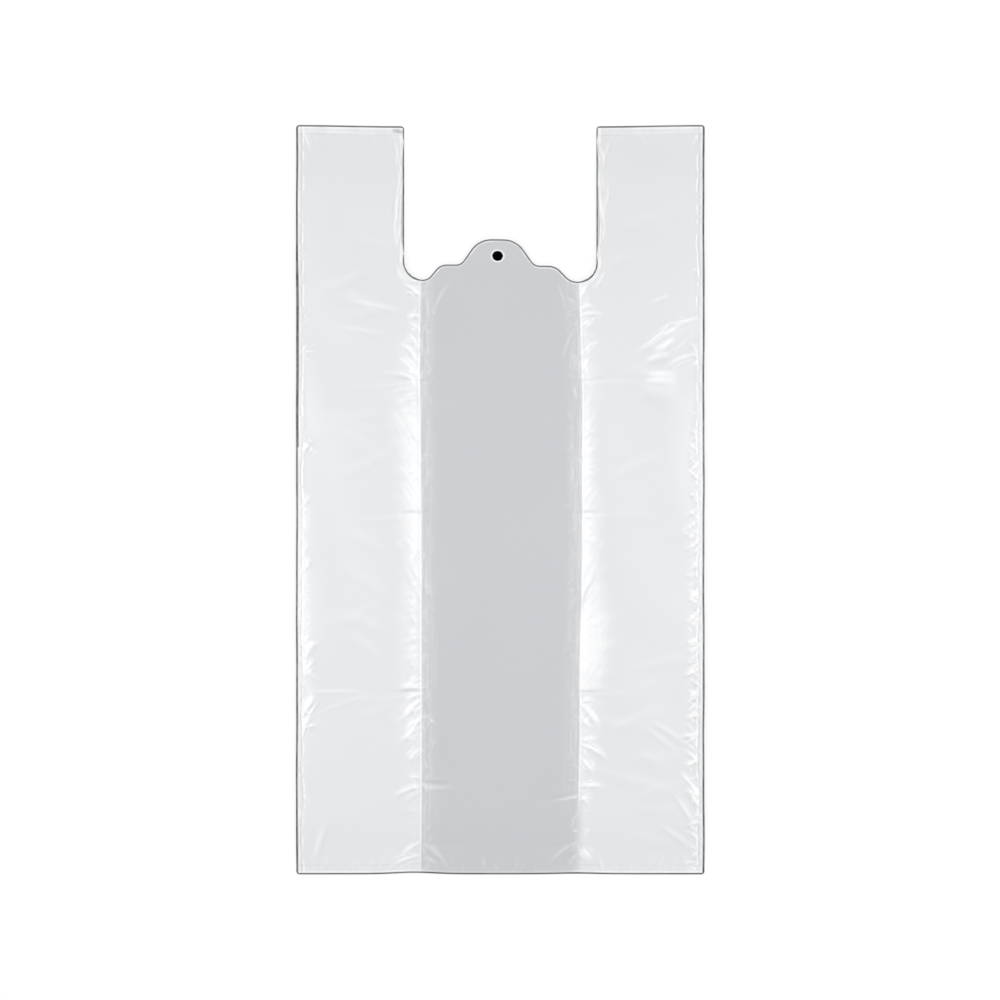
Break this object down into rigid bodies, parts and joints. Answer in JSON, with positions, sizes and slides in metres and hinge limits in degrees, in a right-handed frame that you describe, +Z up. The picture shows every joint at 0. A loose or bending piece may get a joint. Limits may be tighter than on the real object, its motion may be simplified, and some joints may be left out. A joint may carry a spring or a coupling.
{
  "type": "plastic carrier bag",
  "caption": "Empty vest-style carrier bag of thin white plastic film, pressed flat, with gusseted sides, strap handles, a wavy die-cut mouth and a punched hanging tab.",
  "frame": {"origin": "middle of the bag's outline, on the surface that its back panel lies on", "axes": "+X across the bag, +Y from the bottom weld to the handle tops, +Z up out of the front panel"},
  "size_m": [0.3, 0.55, 0.003],
  "materials": {
    "film": "thin translucent film, half gloss, lightly creased"
  },
  "bodies": {
    "root": {"carrier_bag": "film"}
  },
  "joints": []
}
